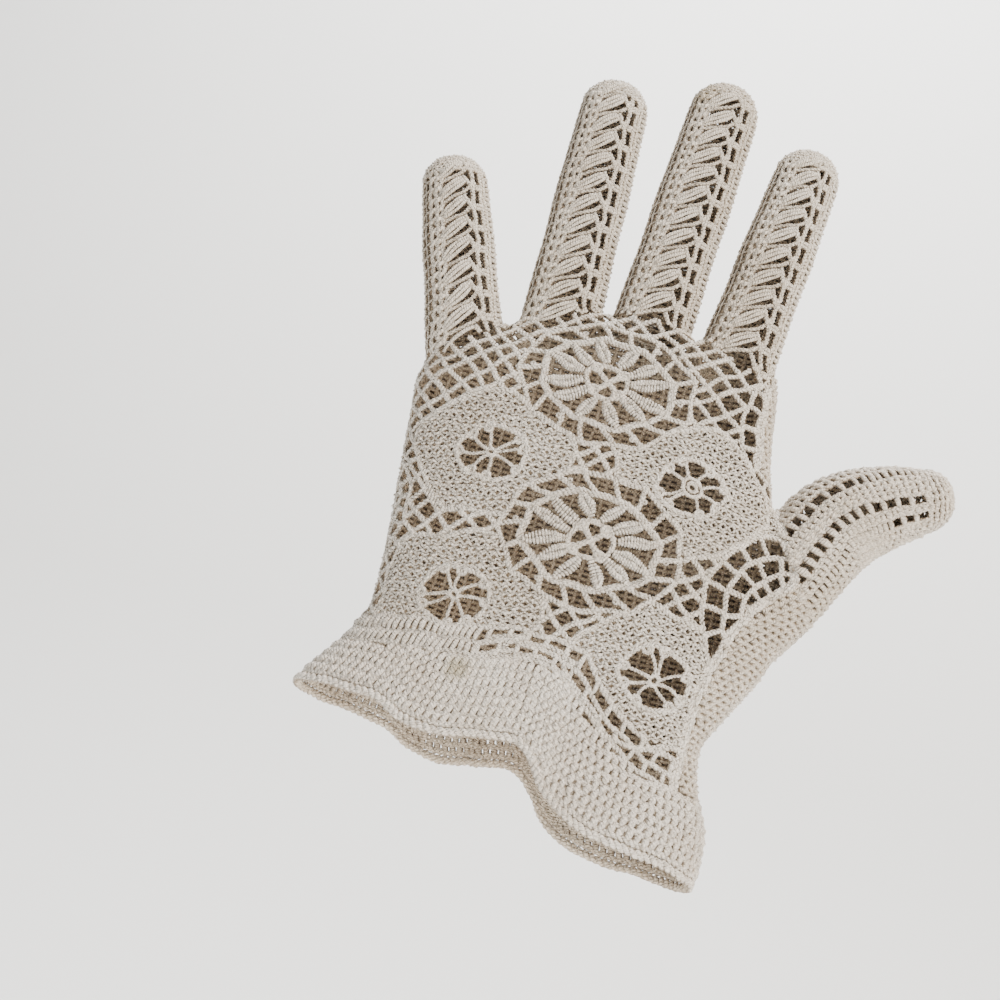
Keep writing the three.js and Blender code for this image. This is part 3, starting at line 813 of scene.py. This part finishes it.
def petals(fabric, flower):
    """Twelve almond petals in four groups of three, each of two columns of knots."""
    tips = [(14.4, 3.6, 5.6, 1.1), (10.6, 7.3, 3.9, 2.9), (5.0, 10.4, 1.2, 5.0)]
    middle = np.array(flower)
    t = np.linspace(-1, 1, 9)
    rise = 0.15 + 0.62 * np.abs(np.sin(np.pi * t)) ** 0.8
    thick = 0.37 * (1 - 0.25 * np.abs(t) ** 4)
    for sx, sz in ((1, 1), (1, -1), (-1, 1), (-1, -1)):
        for tx, tz, rx, rz in tips:
            root = middle + (sx * rx, sz * rz)
            way = middle + (sx * tx, sz * tz) - root
            length = np.hypot(*way)
            way /= length
            count = int(length / 0.62)
            along = (np.arange(count) + 0.5) / count
            half = 1.42 * np.sin(np.pi * np.clip(along * 0.93 + 0.05, 0, 1)) ** 0.62
            places = (root + way * (along * length)[:, None])[:, None] \
                + crossways(way) * (t[None, :, None] * half[:, None, None])
            fabric.lay(places, rise, thick, 6)
    for arm in (np.array((3.3, 3.3)), np.array((3.3, -3.3))):
        fabric.chain(np.linspace(middle - arm, middle + arm, 12), 0.5, 0.42, rise=0.2)
    fabric.chain(circle(flower, 5.0, 4.4), 0.48, 0.38, rise=0.15, pitch=1.7)
    for k in range(4):
        knot = middle + 4.2 * toward(math.radians(45 + 90 * k))
        fabric.chain(circle(knot, 1.0, count=14), 0.5, 0.2, rise=0.3, pitch=1.6)


def flower_rings(fabric, flower):
    """The angular ring through the petal tips, and the ring of leaning cells outside it."""
    quarter = [(14.8, 3.7), (10.9, 7.5), (5.2, 10.8)]
    half = quarter + [(-x, y) for x, y in quarter[::-1]]
    tips = half + [(-x, -y) for x, y in half]
    inner = polygon(np.array(tips + tips[:1]), 12)
    fabric.chain(inner + flower, **NET_CORD)
    fabric.chain(inner * 1.035 + flower, rise=0.15, **NET_CORD)
    cells = 18
    turns = 2 * np.pi * (np.arange(cells + 1) + 0.3) / cells
    corners = columns(FLOWER_A * OUTER_RING * np.cos(turns), FLOWER_B * OUTER_RING * np.sin(turns))
    corners *= np.where(np.arange(cells + 1) % 2, 1.03, 0.97)[:, None]
    corners[-1] = corners[0]
    fabric.chain(polygon(corners, 9) + flower, **NET_CORD)
    for k in range(cells):
        turn = turns[k] - 0.16
        a = toward(turn) * (FLOWER_A, FLOWER_B) * 0.99 + flower
        b = corners[k] + flower
        fabric.chain(np.linspace(a, b, 10), **NET_CORD)
        if k % 3 == 0:
            picot = a * 0.55 + b * 0.45 - crossways(b - a) / np.hypot(*(b - a)) * 0.75
            fabric.chain(circle(picot, 0.48, count=9), 0.27, 0.1, rise=0.3, pitch=1.2, step=0.45)


def wheel(fabric, centre, first, hub):
    """A wheel of eight thin spokes in a round opening of the cloth, with a knotted hub."""
    shape = np.array(WHEEL_SHAPE)
    fabric.chain(circle(centre, *(WHEEL_RIM * shape), count=100), 0.44, 0.32)
    for ring in np.arange(hub, 0.8, -1.1):
        fabric.chain(circle(centre, ring, count=24), 0.42, 0.2, pitch=1.3, step=0.36)
    for k in range(8):
        turn = first + math.pi / 4 * (k + 0.22 * math.sin(2.7 * k + first * 9))
        way = toward(turn) * shape
        bend = crossways(way) * 0.6 * math.sin(1.9 * k + 1)
        t = np.linspace(0, 1, 12)[:, None]
        line = np.array(centre) + way * (hub - 0.15 + (7.45 - hub) * t) + bend * np.sin(np.pi * t)
        fabric.chain(line, 0.29, 0.24, pitch=1.5, step=0.38)
        tip = np.array(centre) + way * 6.9
        fabric.chain(circle(tip, 0.95, count=14), 0.42, 0.2, pitch=1.5)


CLOTH_ROW = 1.5
CLOTH_STITCH = 1.95
CLOTH_STEP = 0.39


def cloth(fabric):
    """Close rows that sway against each other, so that pinholes open between them in turn."""
    u = np.arange(-50, 70, CLOTH_STEP)
    for number, w in enumerate(np.arange(-6, 96, CLOTH_ROW)):
        sway = 0.34 * np.sin(2 * np.pi * u / CLOTH_STITCH + number * np.pi)
        slope = 0.05 * u + 0.8 * np.sin(u / 14 + w / 25)
        for part in masked(columns(u, w + sway + slope), clear_of_eyelets(is_cloth)):
            for places, _ in fabric.runs(part, CLOTH_STEP):
                phase = 2 * np.pi * places[:, 0] / CLOTH_STITCH
                for half, shift in ((0.35, 0.0), (-0.35, np.pi)):
                    fabric.lay((places + (0, half))[None], 0.22 * np.sin(phase + shift), 0.36, clip=False)


def cloth_edges(fabric):
    """The chain that closes the cloth where it meets the net."""
    for centre in WHEELS:
        turn = np.linspace(0, 2 * np.pi, 220)
        ring = columns(CLOTH_A * np.cos(turn), CLOTH_B * np.sin(turn))
        ring = ring / lobe_wave(np.arctan2(ring[:, 1], ring[:, 0]), centre[0])[:, None] + centre
        for part in masked(ring, lambda u, w: is_clear(u, w) & (lobe_norm(u, w) > 0.97)):
            fabric.chain(part, **NET_CORD)


def fans(fabric):
    """Arcs of cells at the two sides, large beside the cloth and smaller towards the edge."""
    for a, b, reach in FANS:
        radii = [reach * share for share in FAN_ARCS]
        for radius in radii:
            fabric.chain(circle((a, b), radius, count=100), **NET_CORD)
        for ring, (outer, inner) in enumerate(zip(radii[:-1], radii[1:])):
            cells = max(int(2 * math.pi * (outer + inner) / 2 / (outer - inner) / 1.05), 8)
            for k in range(cells):
                way = toward(2 * math.pi * (k + 0.5 * (ring % 2)) / cells)
                fabric.chain(np.linspace((a, b) + way * outer, (a, b) + way * inner, 8), **NET_CORD)


NET_CELL = 4.1


def open_net(fabric):
    """Leaning cells that fill what the other lace leaves, with a knot at each crossing."""
    for angle in (math.radians(41), math.radians(139)):
        way = toward(angle)
        t = np.arange(-110, 110, 0.5)
        for k in range(-28, 28):
            line = np.array([0, 45]) + crossways(way) * (k + 0.5) * NET_CELL + way * t[:, None]
            line[:, 0] += 0.7 * np.sin(line[:, 1] / 5.3 + 1.7 * k) + 0.5 * np.sin(line[:, 1] / 11 + k)
            line = line[(np.abs(line[:, 0]) < 74) & (line[:, 1] > -30) & (line[:, 1] < 96)]
            for part in masked(line, clear_of_eyelets(is_net)):
                fabric.chain(part, **NET_CORD)


EYELET_ROWS = (0.7, 3.9, 7.1)
EYELET_PITCH = 4.2
EYELETS_FROM = -14.0
CLOSE_PITCH = 1.4


def over_cuff(u, level):
    """Chart places at a level over the cuff seam."""
    return line_at_height(BACK_CHART, u, 0.0, lambda x: cuff_height(x, level), 5)


def eyelets(fabric):
    """Lines along the cuff seam with bars between: close stitches at the little-finger side, then slits
    that widen to two rows of openings at the thumb side."""
    for level in EYELET_ROWS:
        fabric.chain(over_cuff(np.linspace(-62, 52, 260), level), 0.43, 0.34)
    for row, (low, high) in enumerate(zip(EYELET_ROWS[:-1], EYELET_ROWS[1:])):
        u = np.arange(EYELETS_FROM, 50, EYELET_PITCH) + 1.6 * row
        fabric.posts(over_cuff(u, low), over_cuff(u + 0.6, high), 0.66)
        u = np.arange(-61, EYELETS_FROM - 0.5, CLOSE_PITCH)
        fabric.posts(over_cuff(u, low), over_cuff(u + 0.9, high), 0.72, rise=0.1, bow=0.3)
        for k, slit in enumerate(np.arange(EYELETS_FROM, 4, EYELET_PITCH)):
            ends = np.array([slit + 0.3, slit + 4.0]) + 1.6 * row
            line = over_cuff(np.linspace(*ends, 10), (low + high) / 2 - 0.7 + 0.25 * (k % 2))
            fabric.chain(line, 0.42, 0.36)


def clear_of_eyelets(mask):
    """The same mask, cut back to above the eyelets."""
    def cut(u, w):
        line = over_cuff(np.linspace(-70, 60, 200), EYELET_ROWS[-1])
        return mask(u, w) & (w > np.interp(u, *line.T))
    return cut


def side_row(fabric):
    """The knotted row that ends the lace on the thumb side."""
    line = []
    for w in np.arange(-20, 92, 1.0):
        u = np.linspace(20, 77, 200)
        p, _ = BACK_CHART.at(u, np.full(len(u), w))
        outside = ~on_back(p) | ~beside_thumb(p)
        line.append((u[np.argmax(outside)] - 0.5, w))
    line = eased(np.array(line))
    fabric.chain(line, 0.55, 0.42)
    fabric.chain(line - (1.1, 0), 0.42, 0.36)


# How far the lace strays, in millimetres, and the share by which its threads swell
LACE_UNEVEN = (0.24, 0.2)



def flowers_and_wheels(fabric):
    for flower in FLOWERS:
        petals(fabric, flower)
        flower_rings(fabric, flower)
    for number, (centre, hub) in enumerate(zip(WHEELS, WHEEL_HUBS)):
        wheel(fabric, centre, 0.2 + 0.17 * number, hub)


for name, works in (("flower_lace", [flowers_and_wheels]), ("cloth_lobes", [cloth, cloth_edges]),
                    ("net_lace", [open_net, fans, eyelets, side_row])):
    lace = Fabric(name, BACK_CHART, in_back, *LACE_UNEVEN)
    for work in works:
        work(lace)
    lace.piece("lace_cotton", "back_panel")


# Palm: lines along the palm with upright stitches between

PALM_ROW = 2.4
palm_fabric = Fabric("palm_fabric", PALM_CHART, in_palm)
heights = np.arange(-20, 97, 1.0)
palm_lines = [columns(u, heights) for u in np.arange(-PALM_REACH, PALM_REACH, PALM_ROW)]
lattice(palm_fabric, palm_lines, gap=1.4, radius=0.84, line_radius=0.74, sides=4)
palm_fabric.piece("palm_cotton", "palm_panel")


# Fingers

FINGER_ROW = 6.3
LINK = dict(radius=0.38, spread=0.3, rise=0.1, pitch=1.7)
# Shares of the breadth where the leaves start and end, and where the knotted lines beside them run
LEAF_FROM, LEAF_TO, COLUMN, EDGE, OUTER_EDGE = 0.29, 0.66, 0.785, 0.90, 0.945
# How far from the tip its rounds begin
TIP_ROUNDS = 7


def round_place(share):
    """Where a share of the visible breadth lies round the finger, in chart millimetres."""
    across = np.clip(2 * np.asarray(share, float) - 1, -1, 1)
    return FINGER_ROUND / math.pi * np.arcsin(across) * 0.97


BACK_END = round_place(0.99) + 1.4


def finger_back(fabric, tip):
    """Rows of a leaf of three threads and a counter stitch, beside a knotted column and long openings."""
    left, right = round_place(LEAF_FROM), round_place(LEAF_TO)
    column, edge = round_place(COLUMN), round_place(EDGE)
    leaf_t = np.linspace(0, 1, 9)
    belly = np.sin(np.pi * leaf_t) ** 0.6
    for w in np.arange(-17, tip + 2, FINGER_ROW):
        stray = random.normal(0, 0.16, 6)
        low = np.array([left - 0.4, w + stray[0]])
        high = np.array([right + 0.2, w + 6.0 + stray[1]])
        way = high - low
        size = np.hypot(*way)
        way = way / size
        for k in (-1, 0, 1):
            line = low + way * (leaf_t * size)[:, None] \
                + crossways(way) * (k * 1.12 * (0.3 + 0.7 * belly) + 0.4 * stray[4] * belly)[:, None]
            fabric.lay(line[None], 0.1 + 0.65 * belly - 0.15 * abs(k), 0.47, 6)
        foot = np.array([round_place(0.735), w + 3.4 + stray[2]])
        fabric.chain(np.linspace(high + (-0.7, 0.5), foot, 8), 0.40, 0.34, rise=0.35, pitch=1.7)
        fabric.chain(np.linspace(foot, (column, w + 5.6), 6), **LINK)
        fabric.chain(np.linspace(foot, (column, w + 2.2), 6), **LINK)
        under = [[left + 0.2, w - 1.3], [left + 2.4, w - 0.2 + stray[3]], [foot[0] - 2.2, w + 1.2], foot]
        fabric.chain(smooth_line(under, 14), 0.36, 0.3, rise=-0.15, pitch=1.9)
        for shift in (0, 0.95):
            bar = np.array([[column, w + 3.0 + shift], [edge, w + 3.2 + shift + stray[5]]])
            fabric.posts(bar[:1], bar[1:], 0.6)
    heights = np.arange(-19, tip + 4, 1.0)
    for share, radius, spread in ((COLUMN, 0.42, 0.36), (EDGE, 0.42, 0.36), (OUTER_EDGE, 0.46, 0.38)):
        sway = 0.12 * np.sin(heights * 2 * np.pi / FINGER_ROW + 9 * share)
        fabric.chain(columns(round_place(share) + sway, heights), radius, spread, pitch=1.9)
    fabric.chain(columns(BACK_END, heights), 0.5, 0.4)
    near = columns(round_place(OUTER_EDGE), np.arange(-18, tip + 3, 1.55))
    fabric.posts(near, near + (BACK_END - round_place(OUTER_EDGE), 0.5), 0.66, rise=0.1, bow=0.3)
    for share, swing, phase in ((0.285, 0.4, 0.0), (0.205, 0.5, 2.0), (0.13, 0.35, 4.0)):
        sway = swing * np.sin(heights * 4 * np.pi / FINGER_ROW + phase)
        fabric.chain(columns(round_place(share) + sway, heights), 0.42, 0.4, rise=0.1, pitch=1.9)
    steps = np.arange(-18, tip + 2, FINGER_ROW / 2)
    for near, far, lift in ((0.13, 0.205, 1.3), (0.205, 0.285, 1.0)):
        fabric.posts(columns(round_place(near), steps), columns(round_place(far), steps + lift), 0.62,
                     rise=0.15, bow=0.4, steps=5)


OPEN_STRIPS = 3
STRIP = 2.5
CLOSED = dict(gap=1.4, radius=0.8, line_radius=0.74)
OPENED = dict(gap=3.2, radius=0.36, line_radius=0.4)


def finger_under(fabric, tip):
    """Plain lines round the palm side, ending in an open mesh at the little-finger side edge."""
    heights = np.arange(-19, tip + 3, 1.0)
    end = 2 * FINGER_ROUND + round_place(0.13)
    count = int(round((end - BACK_END) / STRIP))
    lines = [columns(u, heights) for u in np.linspace(BACK_END, end, count + 1)]
    for k, strip in enumerate(zip(lines[:-1], lines[1:])):
        lattice(fabric, strip, sides=4, **(CLOSED if k < count - OPEN_STRIPS else OPENED))


def finger_tip(fabric, tip, top):
    """Rounds of leaning stitches that shut the tip, closest at its end."""
    u = np.arange(-FINGER_ROUND, FINGER_ROUND + 0.01, 1.0)
    for number, w in enumerate(np.arange(tip, top, 1.7)):
        fabric.chain(columns(u, w + 0.2 * np.sin(u * 1.7 + number)), 0.46, 0.4, step=0.6)
        if w < top - 4:
            feet = np.arange(-FINGER_ROUND, FINGER_ROUND - 1, 1.5) + 0.75 * (number % 2)
            low = columns(feet, w)
            fabric.posts(low, low + (0.8, 1.7), 0.5, rise=0.1, bow=0.35, sides=4)


for index, finger in enumerate(FINGERS):
    name, length = finger[:2]
    finger_fabric = Fabric(name + "_crochet", finger_chart(finger), in_finger(index))
    tip = length - TIP_ROUNDS
    finger_back(finger_fabric, tip - 3)
    finger_under(finger_fabric, tip - 2)
    finger_tip(finger_fabric, tip, length + 4.5)
    finger_fabric.piece("finger_cotton", name)


# Thumb

thumb_round_chart, thumb_travel = thumb_chart()
thumb_fabric = Fabric("thumb_crochet", thumb_round_chart, in_thumb)
heights = np.arange(0, thumb_travel - 0.5, 1.0)
# Rows along the thumb: where each starts round it, at the web and at the tip, and its stretches, as
# (share of the length where the stretch ends, spacing and thickness of its stitches)
PLAIN_ROW = [(1.0, 1.6, 0.84)]
REAR_ROW = [(1.0, 1.35, 0.95)]
THUMB_ROWS = [(-12.4, -12.4, PLAIN_ROW), (-9.9, -9.9, PLAIN_ROW),
              (-7.5, -7.5, [(0.80, 3.2, 0.72), (1.0, 1.6, 0.8)]),
              (-3.8, -3.8, PLAIN_ROW), (-2.1, -2.0, PLAIN_ROW), (-1.2, -0.1, PLAIN_ROW),
              (-0.4, 1.9, [(0.80, 3.0, 1.0), (1.0, 3.7, 0.82)]), (3.1, 5.5, PLAIN_ROW),
              (5.0, 7.2, [(0.86, 1.6, 0.8), (1.0, 4.1, 0.82)]), (7.8, 10.8, PLAIN_ROW),
              (10.2, 12.8, PLAIN_ROW), (12.4, 15.0, PLAIN_ROW)]
WEB, TIP = 40, 62
REAR_ROWS = 18
rear_places = np.linspace(THUMB_ROWS[-1][1], THUMB_ROWS[0][0] + 2 * THUMB_ROUND, REAR_ROWS + 1)[1:]
thumb_rows = THUMB_ROWS + [(u, u, REAR_ROW) for u in rear_places]
thumb_lines = [columns(np.interp(heights, (WEB, TIP), row[:2]), heights) for row in thumb_rows]
for low, high, row in zip(thumb_lines[:-1], thumb_lines[1:], thumb_rows):
    first = 0
    for share, spacing, thick in row[2]:
        last = int(len(heights) * share)
        lattice(thumb_fabric, [low[first:last], high[first:last]], spacing, thick, 0.46, pair=True,
                lean=0.4)
        first = last - 1
u = np.arange(-THUMB_ROUND, THUMB_ROUND + 0.01, 1.0)
for w in np.arange(thumb_travel - 0.8, thumb_travel + 11, 1.2):
    thumb_fabric.chain(columns(u, w + 0.15 * np.sin(1.7 * u + w)), 0.5, 0.35, step=0.7)
thumb_fabric.piece("palm_cotton", "thumb")


# Cuff: rounds that follow the scalloped hem

def hem_round(level):
    """A line round the cuff at a level over the hem, in chart places."""
    u = np.linspace(-CUFF_ROUND, CUFF_ROUND, 500)
    return line_at_height(CUFF_CHART, u, -15.0, lambda x: hem_height(x) + level, 8)


CUFF_ROW, CUFF_ROWS, FIRST_ROW = 2.2, 12, 0.7
cuff_fabric = Fabric("cuff_crochet", CUFF_CHART, in_cuff)
cuff_lines = [hem_round(FIRST_ROW + CUFF_ROW * k) for k in range(CUFF_ROWS)]
lattice(cuff_fabric, cuff_lines, gap=1.5, radius=0.88, line_radius=0.5, pair=True, lean=0.8, bow=0.3)
cuff_fabric.piece("cuff_cotton", "cuff_band")

cuff_edge = Fabric("cuff_cord", CUFF_CHART, lambda p: np.ones(p.shape[:-1], bool))
cuff_edge.chain(hem_round(-EDGE_RADIUS * 0.75), 0.62, 0.46, pitch=2.6, step=0.45, sides=7, flat=0.9)
cuff_edge.piece("cuff_cotton", "cuff_edging")


# Floor, backdrop and soft studio light

def studio_finish():
    """Matt painted board: pale, even and without gloss."""
    material, tree = empty_material("matt_painted_board")
    grain = add_node(tree, "ShaderNodeTexNoise", {"Scale": 3.0}).outputs["Fac"]
    tone = add_node(tree, "ShaderNodeMix", {
        "Factor": grain, "A": linear("#f4f4f2"), "B": linear("#f0f0ee")}, data_type="RGBA").outputs[2]
    surface = add_node(tree, "ShaderNodeBsdfPrincipled", {"Roughness": 0.95, "Base Color": tone})
    add_node(tree, "ShaderNodeOutputMaterial", {"Surface": surface.outputs["BSDF"]})
    return material


def backdrop():
    """A pale floor that rises in a soft curve behind the glove."""
    floor, wall, bend = -0.15, 0.9, 0.35
    turn = np.linspace(0, np.pi / 2, 10)
    curve = [(wall - bend + bend * math.sin(t), floor + bend - bend * math.cos(t)) for t in turn]
    profile = [(-1.6, floor)] + curve + [(wall, 1.8)]
    points = [(x, y, z) for y, z in profile for x in (-2.2, 2.2)]
    faces = [[2 * k, 2 * k + 1, 2 * k + 3, 2 * k + 2] for k in range(len(profile) - 1)]
    mesh = bpy.data.meshes.new("backdrop")
    mesh.from_pydata(points, [], faces)
    mesh.shade_smooth()
    mesh.materials.append(studio_finish())
    add_object("backdrop", mesh)


def soft_light(name, place, aim, size, power, colour):
    data = bpy.data.lights.new(name, "AREA")
    data.shape = "DISK"
    data.size = size
    data.energy = power
    data.color = linear(colour)[:3]
    lamp = add_object(name, data)
    lamp.location = place
    lamp.rotation_euler = (Vector(aim) - Vector(place)).to_track_quat("-Z", "Y").to_euler()


backdrop()
soft_light("key_light", (0.70, -0.70, 0.50), (0, 0, 0.06), 0.30, 13, "#fff3e4")
soft_light("front_light", (0.62, -0.84, -0.22), (0, 0, 0.06), 0.4, 16.0, "#fbf6f0")
soft_light("backdrop_light", (0, 0.1, 1.4), (0, 0.9, 0.1), 1.2, 52, "#ffffff")
world = bpy.data.worlds.new("studio")
world.use_nodes = True
sky = world.node_tree.nodes["Background"].inputs
sky["Color"].default_value = linear("#f2f2f0")
sky["Strength"].default_value = 0.2
bpy.context.scene.world = world
